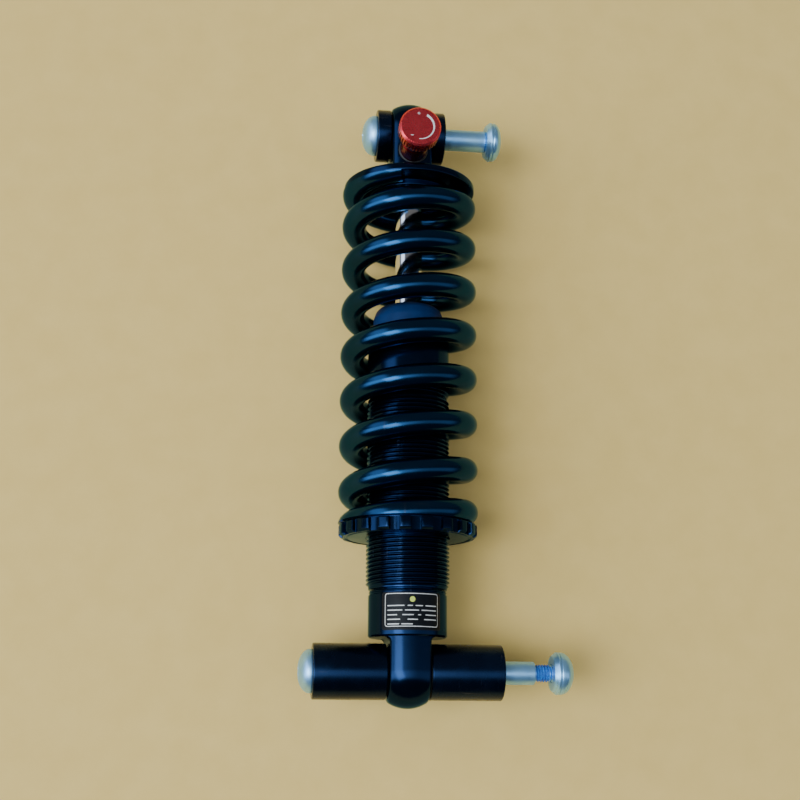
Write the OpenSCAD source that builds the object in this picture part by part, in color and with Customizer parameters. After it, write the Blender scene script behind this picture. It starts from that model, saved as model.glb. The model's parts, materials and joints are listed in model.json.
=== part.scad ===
// Coil-over rear shock of a bicycle, as the separate pieces that it is assembled from.
// The shock's axis runs along +Y, from the lower eye at the origin to the upper eye.
// +Z points out of the side with the rebound knob, +X along the lower axle to its screw.
// Each piece on the shock's axis is drawn standing on local Z, which along_shock() lays on +Y.

/* [Shock] */
// Distance between the centres of the two eyes, fully extended
eye_to_eye = 200; // [199:1:204]
// Radius of the bore through each eye
eye_bore_r = 6.4; // [6.3:0.05:6.5]

/* [Spring] */
// Outer diameter of the coil spring
spring_od = 50; // [49:0.5:50]
// Diameter of the spring's wire
wire_d = 8.8; // [8:0.1:8.8]
// Turns from end to end, with the ground ends
spring_turns = 8.3; // [8.2:0.1:8.4]
// Thickness left at the ground tips
tip_thickness = 2.7; // [2:0.1:3]

/* [Damper tube] */
// Radius of the tube over its thread
tube_r = 14.75; // [14.5:0.05:14.8]
// Radius of the tube's bore
tube_bore_r = 12; // [11.8:0.1:12]
// Where the tube starts, above the lower eye
tube_low = 28; // [27.5:0.5:28]
// Length of the threaded stretch
thread_length = 69; // [66:0.5:70]
// Length of the whole tube
tube_length = 91; // [90.5:0.5:91.5]

/* [Lower eye cap] */
// Radius of the round end and the neck
lower_ball_r = 12.5; // [12:0.1:13]
// Distance from the axis to the flats of the eye and the neck
lower_flat_x = 7.2; // [7:0.1:7.6]
// Radius of the cap that closes the tube
cap_r = 13.8; // [13.7:0.1:14.2]
// Height of the cap's lower face above the eye
cap_low = 11.5; // [11.5:0.5:12.5]

/* [Shaft and piston] */
// Radius of the chromed shaft
shaft_r = 5; // [5:0.1:5]
// Radius of the shaft where the piston sits
shaft_end_r = 4; // [3.8:0.1:4]
// Radius of the hole for the rebound needle
needle_bore_r = 1.8; // [1.7:0.1:1.9]
// Radius of the rebound needle
needle_r = 1.6; // [1.5:0.05:1.6]

/* [Upper head] */
// Radius of the round end and the neck
upper_ball_r = 12.4; // [12.2:0.1:13.4]
// Distance from the axis to the flats
upper_flat_x = 7.3; // [7.2:0.1:7.6]
// Distance from the upper eye down to the face that meets the spring seat
head_length = 20.5; // [20:0.5:21]
// Radius of the spring seat plate
seat_r = 24.4; // [24:0.1:24.8]
// Thickness of the spring seat plate
seat_thickness = 3; // [2.5:0.1:3.5]

/* [Preload collar] */
// Outer radius of the collar
collar_r = 24.6; // [24:0.1:24.8]
// Thickness of the collar
collar_thickness = 4.5; // [4:0.1:5]
// Number of notches for the spanner
collar_notches = 20; // [16:1:22]

/* [Rebound knob] */
// Distance from the upper eye down to the knob's axis
knob_drop = 10.2; // [10:0.1:10.4]
// Radius of the knob's cap
knob_r = 7.5; // [7:0.1:7.8]
// Height of the knob's face above the shock's axis
knob_top = 32; // [31:0.5:33]
// Thickness of the knob's cap
knob_thickness = 6; // [5:0.5:7]

/* [Axles and spacers] */
// Radius of the axles where they stand out of the spacers
axle_r = 4; // [4:0.05:4]
// Width over the two lower spacers
lower_width = 66; // [64:1:70]
// Width over the two upper spacers
upper_width = 25.5; // [24:0.5:27]
// Radius of the lower spacers
lower_spacer_r = 9.6; // [9.5:0.1:10]
// Radius of the upper spacers
upper_spacer_r = 9.8; // [9.7:0.1:10.2]
// Length of the lower axle that stands out of its right-hand spacer
lower_exposed = 11.6; // [11:0.1:12]
// Length of the upper axle that stands out of its right-hand spacer
upper_exposed = 16.35; // [15:0.05:17]
// Gap between the end of the lower axle and its screw's washer
lower_screw_gap = 6.2; // [3:0.1:6.5]

/* [Hidden] */
$fn = 72;

ANODISED = "#16171b";
SPRING_BLACK = "#101114";
STEEL = "#b9bec4";
CHROME = "#d9dcdf";
RUBBER = "#1b1c20";
RED = "#a8121c";
BRONZE = "#8a6b3f";
THREADLOCK = "#1d63b8";

// A hole's radius over that of a piece that turns or slides in it
running_gap = 0.05;
// How far a cutter runs past the face that it cuts
over = 1;
// Large enough to reach across any piece
reach = 40;

tube_high = tube_low + tube_length;
thread_high = tube_low + thread_length;
cap_high = tube_low - 0.5;
spigot_high = cap_high + 6;
spigot_r = tube_bore_r - 0.05;
charge_port_u = (cap_low + cap_high) / 2;

seat_high = eye_to_eye - head_length;
seat_low = seat_high - seat_thickness;
spring_top = seat_low;
spring_bottom = 51.5;
washer_thickness = 0.7;
collar_high = spring_bottom - washer_thickness;

seal_low = 112;
seal_flange_high = tube_high + 2.5;
shaft_high = eye_to_eye - 14;
shaft_low = 91;
shaft_step = 106.4;
piston_low = 97.2;
piston_high = 105.2;
shim_step = 0.4;
floating_low = 43.8;
floating_high = 51.8;
knob_u = eye_to_eye - knob_drop;

// Wire-centre helix of the spring: its pitch grows from each closed end over a ramp
wire_r = wire_d / 2;
coil_r = spring_od / 2 - wire_r;
top_ramp_start = 0.5;
top_ramp_end = 1.1;
bottom_ramp = 1.2;
top_end_pitch = 10;
bottom_end_pitch = 8;
top_ramp_middle = (top_ramp_start + top_ramp_end) / 2;
helix_top = spring_top + wire_r - tip_thickness;
helix_bottom = spring_bottom - wire_r + tip_thickness;
ramp_drop = top_end_pitch * top_ramp_middle + bottom_end_pitch * bottom_ramp / 2;
active_turns = spring_turns - top_ramp_middle - bottom_ramp / 2;
active_pitch = (helix_top - helix_bottom - ramp_drop) / active_turns;
// Angle of the wire's top end round the shock: 90 is the middle of the front
top_end_angle = 104;
rings_per_turn = 20;
wire_sides = 10;

// ---- Helpers ----

module along_shock() rotate([-90, 0, 0]) children();

module on_lower_axle() rotate([0, 90, 0]) children();

module in_upper_head() translate([0, eye_to_eye, 0]) children();

module on_upper_axle() in_upper_head() rotate([0, 90, 0]) children();

module on_knob_axis() in_upper_head() translate([0, -knob_drop, 0]) children();

// A turned piece, from its outline as [radius, height] points
module turned(points) rotate_extrude() polygon(points);

module tube(inner_r, outer_r, low, high) {
  translate([0, 0, low]) difference() {
    cylinder(r = outer_r, h = high - low);
    translate([0, 0, -over]) cylinder(r = inner_r, h = high - low + 2 * over);
  }
}

module oring(ring_r, section_r, height) {
  translate([0, 0, height]) rotate_extrude() translate([ring_r, 0]) circle(r = section_r, $fn = 24);
}

module rod(r, low, high) translate([0, 0, low]) cylinder(r = r, h = high - low);

// Cutter for both flats of an eye
module flats(distance) {
  for (side = [-1, 1])
    translate([side * (distance + reach / 2), 0, 0]) cube([reach, 2 * reach, 2 * reach], center = true);
}

// Cutter for both flats of an eye and its neck, which end in a fillet under the cap
module neck_flats(distance, high, fillet_r) {
  for (side = [0, 1]) mirror([side, 0, 0]) rotate([90, 0, 0])
    linear_extrude(height = 2 * reach, center = true) {
      translate([distance, -reach]) square([reach, reach + high - fillet_r]);
      translate([distance + fillet_r, -reach]) square([reach, reach + high]);
      translate([distance + fillet_r, high - fillet_r]) circle(r = fillet_r);
    }
}

// ---- Damper body ----

module lower_eye_cap() {
  bevel = 0.6;
  groove_low = spigot_high - 4;
  color(ANODISED) along_shock() difference() {
    union() {
      sphere(r = lower_ball_r);
      rod(lower_ball_r, 0, cap_low + over);
      turned([
        [0, cap_low], [cap_r - bevel, cap_low], [cap_r, cap_low + bevel],
        [cap_r, cap_high - 1.2], [cap_r - 0.5, cap_high - 0.7], [cap_r - 0.5, cap_high],
        [spigot_r, cap_high], [spigot_r, groove_low], [spigot_r - 1.6, groove_low],
        [spigot_r - 1.6, groove_low + 2], [spigot_r, groove_low + 2],
        [spigot_r, spigot_high - 0.5], [spigot_r - 0.5, spigot_high], [0, spigot_high]
      ]);
    }
    neck_flats(lower_flat_x, cap_low, 1.5);
    rotate([0, 90, 0]) cylinder(r = eye_bore_r, h = reach, center = true);
    rod(1.2, charge_port_u, spigot_high + over);
    translate([0, 0, charge_port_u]) rotate([-90, 0, 0]) {
      cylinder(r = 1.2, h = cap_r);
      translate([0, 0, 8]) cylinder(r = 3, h = cap_r);
    }
  }
}

module eye_bushing(flat_x) {
  tube(inner_r = 5.4 + running_gap, outer_r = eye_bore_r - 0.02, low = -flat_x, high = flat_x);
}

module lower_eye_bushing() color(BRONZE) on_lower_axle() eye_bushing(lower_flat_x);

module cap_oring() color(RUBBER) along_shock() oring(spigot_r - 0.85, 0.75, spigot_high - 3);

module charge_port_screw() {
  color(STEEL) along_shock() translate([0, 0, charge_port_u]) rotate([-90, 0, 0]) difference() {
    union() {
      translate([0, 0, 8.2]) cylinder(r = 2.9, h = 5);
      translate([0, 0, 6]) cylinder(r = 1.1, h = 2.5);
    }
    translate([0, 0, 10.5]) cylinder(r = 1.5, h = reach, $fn = 6);
  }
}

module info_label() {
  label_width = 20.4;
  color("#0d0e10") along_shock() intersection() {
    tube(cap_r, cap_r + 0.12, cap_low + 1.9, cap_high - 1.3);
    translate([-label_width / 2, -reach, 0]) cube([label_width, reach, reach]);
  }
}

module damper_tube() {
  relief_r = tube_r - 1;
  color(ANODISED) along_shock() turned([
    [tube_bore_r, tube_low], [tube_r - 0.8, tube_low], [tube_r, tube_low + 0.8],
    [tube_r, thread_high - 1.5], [relief_r, thread_high - 0.8], [relief_r, thread_high],
    [tube_r, thread_high + 0.8], [tube_r, tube_high - 0.5], [tube_r - 0.5, tube_high],
    [tube_bore_r, tube_high]
  ]);
}

module seal_head() {
  groove_low = seal_low + 2.2;
  color(ANODISED) along_shock() turned([
    [6.2, seal_low], [11.45, seal_low], [11.95, seal_low + 0.5], [11.95, groove_low],
    [10.3, groove_low], [10.3, groove_low + 2], [11.95, groove_low + 2], [11.95, tube_high],
    [14.2, tube_high], [14.2, seal_flange_high - 0.5], [13.7, seal_flange_high],
    [7.3, seal_flange_high], [7.3, seal_flange_high - 1.9], [5.3, seal_flange_high - 1.9],
    [5.3, tube_high], [7.9, tube_high], [7.9, tube_high - 2.4], [6.2, tube_high - 2.4]
  ]);
}

module seal_head_oring() color(RUBBER) along_shock() oring(11.15, 0.8, seal_low + 3.2);

module shaft_bushing() {
  color(BRONZE) along_shock() tube(shaft_r + running_gap, 6.18, seal_low + 0.2, tube_high - 2.6);
}

module shaft_oil_seal() {
  color(RUBBER) along_shock() tube(shaft_r + running_gap, 7.88, tube_high - 2.3, tube_high - 0.1);
}

module wiper_seal() {
  wiper_low = seal_flange_high - 1.8;
  color(RUBBER) along_shock() tube(shaft_r + running_gap, 7.28, wiper_low, seal_flange_high - 0.1);
}

// A rubber dome that rests on the seal head, round the shaft
module bump_stop() {
  base_r = 12.9;
  top_r = 9.6;
  dome_low = seal_flange_high + 4.5;
  dome_height = 5.3;
  dome = [for (a = [0 : 10 : 90])
    [top_r + (base_r - top_r) * cos(a), dome_low + dome_height * sin(a)]];
  color(RUBBER) along_shock() turned(concat(
    [[shaft_r + 0.4, seal_flange_high], [base_r, seal_flange_high]],
    dome, [[shaft_r + 0.4, dome_low + dome_height]]
  ));
}

// Turns gained by turn t where the pitch rises evenly from turn a to turn b
function ramp(t, a, b) =
  t <= a ? 0 : t >= b ? t - (a + b) / 2 : (t - a) * (t - a) / (2 * (b - a));

// Height of the wire's centre, t turns down from the top end
function helix_height(t) =
  helix_top - top_end_pitch * t
  - (active_pitch - top_end_pitch) * ramp(t, top_ramp_start, top_ramp_end)
  + (active_pitch - bottom_end_pitch) * ramp(t, spring_turns - bottom_ramp, spring_turns);

// One ring of the wire, its ends ground flat on the planes of the two seats
function wire_ring(t) = [
  for (i = [0 : wire_sides - 1])
    let (
      turn = top_end_angle + 360 * t,
      side = 360 * i / wire_sides,
      r = coil_r + wire_r * cos(side),
      u = helix_height(t) + wire_r * sin(side)
    )
    [r * cos(turn), -r * sin(turn), min(spring_top, max(spring_bottom, u))]
];

// Triangles that close an end of the wire, fanned from a point off its ground face
function end_fan(first, apex, step) = [
  for (i = [1 : wire_sides - 2])
    let (
      a = first + (apex + i) % wire_sides,
      b = first + (apex + i + 1) % wire_sides
    )
    step > 0 ? [first + apex, a, b] : [first + apex, b, a]
];

module coil_spring() {
  ring_count = floor(spring_turns * rings_per_turn) + 1;
  rings = [for (k = [0 : ring_count - 1]) wire_ring(spring_turns * k / (ring_count - 1))];
  points = [for (ring = rings) for (p = ring) p];
  sides = [
    for (k = [0 : ring_count - 2]) for (i = [0 : wire_sides - 1])
      let (a = k * wire_sides + i, b = k * wire_sides + (i + 1) % wire_sides)
      for (face = [[a, a + wire_sides, b], [b, a + wire_sides, b + wire_sides]]) face
  ];
  top_end = end_fan(0, round(wire_sides * 0.75), 1);
  bottom_end = end_fan((ring_count - 1) * wire_sides, round(wire_sides * 0.25), -1);
  color(SPRING_BLACK) along_shock() polyhedron(points, concat(sides, top_end, bottom_end));
}

// ---- Gas chamber ----

module floating_piston() {
  r = tube_bore_r - running_gap;
  groove_low = (floating_low + floating_high) / 2 - 1;
  color(STEEL) along_shock() turned([
    [0, floating_low + 3], [8, floating_low + 3], [8, floating_low], [r - 0.4, floating_low],
    [r, floating_low + 0.4], [r, groove_low], [r - 1.6, groove_low], [r - 1.6, groove_low + 2],
    [r, groove_low + 2], [r, floating_high - 0.4], [r - 0.4, floating_high], [0, floating_high]
  ]);
}

module floating_piston_oring() {
  color(RUBBER) along_shock() oring(tube_bore_r - 0.8, 0.75, (floating_low + floating_high) / 2);
}

// ---- Spring seat ----

// A plate with a slot, so that it slips off the shaft once the spring is slack
module upper_spring_seat() {
  slot_r = shaft_r + 0.15;
  color(ANODISED) along_shock() difference() {
    union() {
      turned([
        [0, seat_low], [seat_r - 0.6, seat_low], [seat_r, seat_low + 0.6],
        [seat_r, seat_high - 1], [seat_r - 1, seat_high], [0, seat_high]
      ]);
      tube(13.4, 15.7, seat_low - 2.2, seat_low + over);
    }
    rod(slot_r, seat_low - reach, seat_high + over);
    translate([-slot_r, 0, seat_low - reach]) cube([2 * slot_r, reach, 2 * reach]);
  }
}

// ---- Shaft, head and piston ----

module damper_shaft() {
  color(CHROME) along_shock() difference() {
    turned([
      [0, shaft_low], [shaft_end_r - 0.5, shaft_low], [shaft_end_r, shaft_low + 0.5],
      [shaft_end_r, shaft_step], [shaft_r, shaft_step], [shaft_r, shaft_high], [0, shaft_high]
    ]);
    rod(needle_bore_r, shaft_low - over, shaft_high + over);
    translate([0, 0, shaft_step + 1.1]) rotate([0, 90, 0])
      cylinder(r = 0.8, h = reach, center = true);
  }
}

module upper_eye_head() {
  shaft_hole_top = shaft_high - eye_to_eye;
  recess_floor = 8;
  color(ANODISED) in_upper_head() difference() {
    union() {
      sphere(r = upper_ball_r);
      rotate([90, 0, 0]) cylinder(r = upper_ball_r, h = head_length);
    }
    flats(upper_flat_x);
    rotate([0, 90, 0]) cylinder(r = eye_bore_r, h = reach, center = true);
    rotate([-90, 0, 0]) {
      rod(shaft_r + 0.02, -head_length - over, shaft_hole_top);
      rod(needle_bore_r, shaft_hole_top - over, -knob_drop);
    }
    translate([0, -knob_drop, 0]) {
      translate([0, 0, recess_floor]) cylinder(r = 5.5, h = reach);
      translate([0, 0, -2]) cylinder(r = 0.95, h = reach);
    }
  }
}

module upper_eye_bushing() color(BRONZE) on_upper_axle() eye_bushing(upper_flat_x);

module main_piston() {
  ports = 6;
  r = tube_bore_r - 0.15;
  color(STEEL) along_shock() difference() {
    tube(shaft_end_r + 0.02, r, piston_low, piston_high);
    tube(r - 0.85, reach, piston_low + 2.4, piston_high - 2.4);
    for (i = [0 : ports - 1]) rotate([0, 0, 360 * i / ports])
      translate([7.2, 0, piston_low - over]) cylinder(r = 1.1, h = reach);
  }
}

module piston_band() {
  outer_r = tube_bore_r - 0.07;
  color("#2b2623") along_shock() tube(outer_r - 0.9, outer_r, piston_low + 2.5, piston_high - 2.5);
}

// A stack of thin discs that get smaller away from the piston
module shims(direction, start) {
  for (i = [0 : 2]) {
    a = start + direction * i * shim_step;
    b = a + direction * shim_step;
    tube(shaft_end_r + 0.02, 9 - 1.5 * i, min(a, b), max(a, b));
  }
}

module compression_shims() color(STEEL) along_shock() shims(1, piston_high);

module rebound_shims() color(STEEL) along_shock() shims(-1, piston_low);

module piston_nut() {
  high = piston_low - 3 * shim_step;
  color(STEEL) along_shock() difference() {
    translate([0, 0, shaft_low + 0.4]) cylinder(r = 5.77, h = high - shaft_low - 0.4, $fn = 6);
    rod(shaft_end_r + 0.02, 0, reach * 3);
  }
}

module top_out_plate() color(STEEL) along_shock() tube(shaft_r + 0.02, 8.5, 108.6, 109.4);

module top_out_bumper() color(RUBBER) along_shock() tube(shaft_r + 0.02, 9.5, 109.4, 111.9);

// ---- Rebound adjuster ----

module rebound_knob() {
  grooves = 30;
  stem_r = 5;
  stem_low = 8.2;
  cap_bottom = knob_top - knob_thickness;
  oring_z = 11.5;
  color(RED) on_knob_axis() difference() {
    turned([
      [0, stem_low], [stem_r, stem_low], [stem_r, oring_z - 0.8], [stem_r - 1, oring_z - 0.8],
      [stem_r - 1, oring_z + 0.8], [stem_r, oring_z + 0.8], [stem_r, cap_bottom],
      [knob_r - 0.5, cap_bottom], [knob_r, cap_bottom + 0.5], [knob_r, knob_top - 0.7],
      [knob_r - 0.7, knob_top], [0, knob_top]
    ]);
    translate([0, 0, stem_low - over]) cylinder(r = 0.92, h = 6 + over);
    for (i = [0 : grooves - 1]) rotate([0, 0, 360 * i / grooves])
      translate([knob_r + 0.1, 0, cap_bottom - over])
        cylinder(r = 0.4, h = knob_thickness - 1.4 + over, $fn = 16);
  }
}

module knob_spindle() color(STEEL) on_knob_axis() translate([0, 0, -1.5]) cylinder(r = 0.9, h = 15);

module knob_oring() color(RUBBER) on_knob_axis() oring(4.75, 0.7, 11.5);

module rebound_needle() {
  needle_high = knob_u - 2.5;
  color(STEEL) along_shock() turned([
    [0, shaft_low + 1.5], [needle_r, shaft_low + 5], [needle_r, needle_high], [0, needle_high]
  ]);
}

// ---- Preload ----

module preload_thrust_washer() {
  color(ANODISED) along_shock() tube(tube_r + 0.2, 22.6, collar_high, spring_bottom);
}

module preload_collar() {
  notch_width = 3.8;
  notch_depth = 1.4;
  low = collar_high - collar_thickness;
  color(ANODISED) along_shock() difference() {
    turned([
      [tube_r + 0.15, low], [collar_r - 1.2, low], [collar_r, low + 0.7],
      [collar_r, collar_high - 0.5], [collar_r - 0.5, collar_high],
      [tube_r + 0.15, collar_high]
    ]);
    for (i = [0 : collar_notches - 1]) rotate([0, 0, 360 * i / collar_notches])
      translate([collar_r - notch_depth, -notch_width / 2, low - over])
        cube([reach, notch_width, collar_thickness + 2 * over]);
  }
}

// ---- Axles, spacers and screws ----

// Section radius of the rings that seal the spacers against their eye, and the rings' own radius
seal_section_r = 0.6;
seal_ring_r = 8.1;
// Distance between an eye's flats and the spacers beside it
lower_spacer_gap = 0.5;
upper_spacer_gap = 0.4;

// Right-hand spacer: a thick sleeve with a spigot that turns in the eye's bushing, and a groove
// for its seal ring
module spacer(r, flat_x, gap, outer_x) {
  spigot_end = 0.2;
  bore_r = axle_r + 0.04;
  inner_x = flat_x + gap;
  groove_x = flat_x + 2 * seal_section_r + 0.06;
  groove_half = seal_section_r + running_gap;
  turned([
    [bore_r, spigot_end], [5.4, spigot_end], [5.4, inner_x],
    [seal_ring_r - groove_half, inner_x], [seal_ring_r - groove_half, groove_x],
    [seal_ring_r + groove_half, groove_x], [seal_ring_r + groove_half, inner_x],
    [r - 0.3, inner_x], [r, inner_x + 0.3], [r, outer_x - 0.3], [r - 0.3, outer_x],
    [bore_r, outer_x]
  ]);
}

module lower_spacer() spacer(lower_spacer_r, lower_flat_x, lower_spacer_gap, lower_width / 2);

module upper_spacer() spacer(upper_spacer_r, upper_flat_x, upper_spacer_gap, upper_width / 2);

module lower_spacer_right() color(ANODISED) on_lower_axle() lower_spacer();

module lower_spacer_left() color(ANODISED) on_lower_axle() mirror([0, 0, 1]) lower_spacer();

module upper_spacer_right() color(ANODISED) on_upper_axle() upper_spacer();

module upper_spacer_left() color(ANODISED) on_upper_axle() mirror([0, 0, 1]) upper_spacer();

// The two rings that seal a pair of spacers against the flats of their eye
module spacer_orings(flat_x) {
  for (side = [-1, 1]) oring(seal_ring_r, seal_section_r, side * (flat_x + seal_section_r + 0.03));
}

module lower_spacer_orings() color(RUBBER) on_lower_axle() spacer_orings(lower_flat_x);

module upper_spacer_orings() color(RUBBER) on_upper_axle() spacer_orings(upper_flat_x);

// A low dome that stands on z = 0, as points of a turned outline
function dome_points(r, height) = [
  for (a = [0 : 10 : 90]) [r * cos(a), 0.6 + (height - 0.6) * sin(a)]
];

// Hollow axle with a domed head at its left end and a thread for the screw at its right
module axle(half_width, exposed, head_r, head_height) {
  hidden_r = axle_r - 0.2;
  end_x = half_width + exposed;
  difference() {
    union() {
      rod(hidden_r, -half_width - over, half_width);
      rod(axle_r, half_width, end_x);
      translate([0, 0, -half_width]) mirror([0, 0, 1])
        turned(concat([[0, 0], [head_r, 0]], dome_points(head_r, head_height)));
    }
    rod(3.05, end_x - 22, end_x + over);
    translate([0, 0, -half_width - head_height - over])
      cylinder(r = 2.31, h = 3.5 + over, $fn = 6);
  }
}

module axle_washer(seat_x) {
  turned([
    [3.2, seat_x], [6.1, seat_x], [7.35, seat_x + 1.6], [7.35, seat_x + 2.4], [3.2, seat_x + 2.4]
  ]);
}

module axle_screw(seat_x, head_r, head_height, shank) {
  head_x = seat_x + 2.4;
  difference() {
    union() {
      rod(2.95, head_x - shank, head_x + over);
      translate([0, 0, head_x])
        turned(concat([[0, 0], [head_r, 0]], dome_points(head_r, head_height)));
    }
    translate([0, 0, head_x + head_height - 2.8]) cylinder(r = 2.31, h = reach, $fn = 6);
  }
}

lower_end_x = lower_width / 2 + lower_exposed;
upper_end_x = upper_width / 2 + upper_exposed;
lower_seat_x = lower_end_x + lower_screw_gap;
lower_shank = 18;
upper_shank = 22;

module lower_axle() {
  color(STEEL) on_lower_axle() axle(lower_width / 2, lower_exposed, 7.5, 5);
}

module lower_axle_washer() color(STEEL) on_lower_axle() axle_washer(lower_seat_x);

module lower_axle_screw() {
  color(STEEL) on_lower_axle() difference() {
    axle_screw(lower_seat_x, 7.3, 5.4, lower_shank);
    tube(2.8, reach, lower_end_x + 0.4, lower_seat_x - 0.3);
  }
}

module threadlock_patch() {
  color(THREADLOCK) on_lower_axle() tube(2.81, 2.97, lower_end_x + 0.45, lower_seat_x - 0.35);
}

module upper_axle() {
  color(STEEL) on_upper_axle() axle(upper_width / 2, upper_exposed, 7.5, 5.4);
}

module upper_axle_washer() color(STEEL) on_upper_axle() axle_washer(upper_end_x);

module upper_axle_screw() {
  color(STEEL) on_upper_axle() axle_screw(upper_end_x, 7.2, 3.8, upper_shank);
}

// ---- Assembly ----

lower_eye_cap();
lower_eye_bushing();
cap_oring();
charge_port_screw();
info_label();
damper_tube();
seal_head();
seal_head_oring();
shaft_bushing();
shaft_oil_seal();
wiper_seal();
bump_stop();
coil_spring();
floating_piston();
floating_piston_oring();
upper_spring_seat();
damper_shaft();
upper_eye_head();
upper_eye_bushing();
main_piston();
piston_band();
compression_shims();
rebound_shims();
piston_nut();
top_out_plate();
top_out_bumper();
rebound_knob();
knob_spindle();
knob_oring();
rebound_needle();
preload_thrust_washer();
preload_collar();
upper_spacer_left();
upper_spacer_right();
upper_spacer_orings();
upper_axle();
upper_axle_washer();
upper_axle_screw();
lower_spacer_left();
lower_spacer_right();
lower_spacer_orings();
lower_axle();
lower_axle_washer();
lower_axle_screw();
threadlock_patch();
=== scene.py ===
"""Coil-over rear shock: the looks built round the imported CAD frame.

Pieces are drawn in millimetres in the frame of their own axis (local Z) and placed by one of
the matrices below, so that every mesh ends up in metres in the row frame.
"""

import json
import math

import bmesh
import bpy
from mathutils import Matrix, Vector

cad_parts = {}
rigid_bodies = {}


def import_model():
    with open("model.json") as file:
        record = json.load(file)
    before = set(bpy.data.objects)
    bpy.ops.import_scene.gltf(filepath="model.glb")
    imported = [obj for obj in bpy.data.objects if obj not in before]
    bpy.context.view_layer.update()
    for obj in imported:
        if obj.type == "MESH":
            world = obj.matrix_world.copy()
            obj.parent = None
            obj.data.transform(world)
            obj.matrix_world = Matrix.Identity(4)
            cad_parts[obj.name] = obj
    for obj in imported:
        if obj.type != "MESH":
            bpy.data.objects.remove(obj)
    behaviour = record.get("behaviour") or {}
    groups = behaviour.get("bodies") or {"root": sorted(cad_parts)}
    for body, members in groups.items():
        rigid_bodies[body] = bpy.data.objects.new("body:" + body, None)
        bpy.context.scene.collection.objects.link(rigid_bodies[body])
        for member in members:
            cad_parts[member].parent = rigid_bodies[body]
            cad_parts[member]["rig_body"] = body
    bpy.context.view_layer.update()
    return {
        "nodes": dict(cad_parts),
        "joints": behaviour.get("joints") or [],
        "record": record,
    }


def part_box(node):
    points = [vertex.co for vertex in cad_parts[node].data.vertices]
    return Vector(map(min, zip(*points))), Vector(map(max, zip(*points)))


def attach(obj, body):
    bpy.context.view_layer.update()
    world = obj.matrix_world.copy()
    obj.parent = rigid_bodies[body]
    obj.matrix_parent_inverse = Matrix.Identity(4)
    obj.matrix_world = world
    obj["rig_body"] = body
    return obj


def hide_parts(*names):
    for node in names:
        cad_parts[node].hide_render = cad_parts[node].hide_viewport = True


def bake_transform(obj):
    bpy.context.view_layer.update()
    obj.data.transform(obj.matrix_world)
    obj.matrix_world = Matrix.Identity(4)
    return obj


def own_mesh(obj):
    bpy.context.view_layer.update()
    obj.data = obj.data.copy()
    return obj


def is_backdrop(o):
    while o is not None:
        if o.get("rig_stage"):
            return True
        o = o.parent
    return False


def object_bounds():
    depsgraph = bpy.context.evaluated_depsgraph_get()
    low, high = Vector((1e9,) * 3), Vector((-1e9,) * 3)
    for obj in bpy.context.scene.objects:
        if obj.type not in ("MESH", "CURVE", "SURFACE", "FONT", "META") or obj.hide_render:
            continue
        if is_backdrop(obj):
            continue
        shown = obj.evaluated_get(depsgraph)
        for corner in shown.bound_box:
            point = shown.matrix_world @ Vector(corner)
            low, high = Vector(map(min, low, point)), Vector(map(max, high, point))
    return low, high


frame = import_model()

MM = 0.001
record = frame["record"]
mounts = {m["name"]: m for m in record["mounts"]}
joints = {j["name"]: j for j in frame["joints"]}


def span(node, axis):
    """Where a CAD node starts and ends along a row axis, in millimetres."""
    low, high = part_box(node)
    index = "xyz".index(axis)
    return low[index] / MM, high[index] / MM


# ---- Driving dimensions, read from the frame ----

EYE_TO_EYE = mounts["upper_eye"]["pos_m"][1] / MM
KNOB_DROP = EYE_TO_EYE - joints["rebound_turn"]["pos_m"][1] / MM

TO_METRES = Matrix.Scale(MM, 4)
ON_SHOCK = TO_METRES @ Matrix.Rotation(-math.pi / 2, 4, "X")
ON_LOWER_AXLE = TO_METRES @ Matrix.Rotation(math.pi / 2, 4, "Y")
IN_HEAD = TO_METRES @ Matrix.Translation((0, EYE_TO_EYE, 0))
ON_UPPER_AXLE = IN_HEAD @ Matrix.Rotation(math.pi / 2, 4, "Y")
ON_KNOB = IN_HEAD @ Matrix.Translation((0, -KNOB_DROP, 0))
MIRRORED = Matrix.Scale(-1, 4, (0, 0, 1))

SPRING_LOW, SPRING_HIGH = span("coil_spring", "y")
TUBE_LOW, TUBE_HIGH = span("damper_tube", "y")
STROKE = joints["stroke"]["range_m"][1] / MM


# ---- Mesh building ----

WELD_DISTANCE, SLIVER_LENGTH = 2e-7, 1e-7  # metres
ON_AXIS = 1e-6  # a ring of a smaller radius, in millimetres, is one point
AROUND = 96  # points round a turned piece
SHARP_DEGREES = 32
SQUARE = ((-1, -1), (1, -1), (1, 1), (-1, 1))  # its corners, in turn


def linked(name, data):
    """A new object in the scene, from its data."""
    thing = bpy.data.objects.new(name, data)
    bpy.context.scene.collection.objects.link(thing)
    return thing


def write_back(bm, mesh, sharp_degrees):
    """Smooths the faces, writes them to a mesh and marks its edges sharp by angle."""
    for face in bm.faces:
        face.smooth = True
    bm.to_mesh(mesh)
    bm.free()
    mesh.set_sharp_from_angle(angle=math.radians(sharp_degrees))


def smooth_mesh(name, verts, faces, place, sharp_degrees=SHARP_DEGREES, weld=True):
    """A piece from points in millimetres, with its normals out and its edges sharp by angle."""
    mesh = bpy.data.meshes.new(name)
    mesh.from_pydata([place @ Vector(v) for v in verts], [], faces)
    bm = bmesh.new()
    bm.from_mesh(mesh)
    if weld:
        bmesh.ops.remove_doubles(bm, verts=bm.verts, dist=WELD_DISTANCE)
        bmesh.ops.dissolve_degenerate(bm, edges=bm.edges, dist=SLIVER_LENGTH)
    bmesh.ops.recalc_face_normals(bm, faces=bm.faces)
    write_back(bm, mesh, sharp_degrees)
    return linked(name, mesh)


def around(radius, height, count=AROUND):
    """A ring of points, by its radius at each angle."""
    return [(radius(a) * math.cos(a), radius(a) * math.sin(a), height)
            for a in (2 * math.pi * i / count for i in range(count))]


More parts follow.
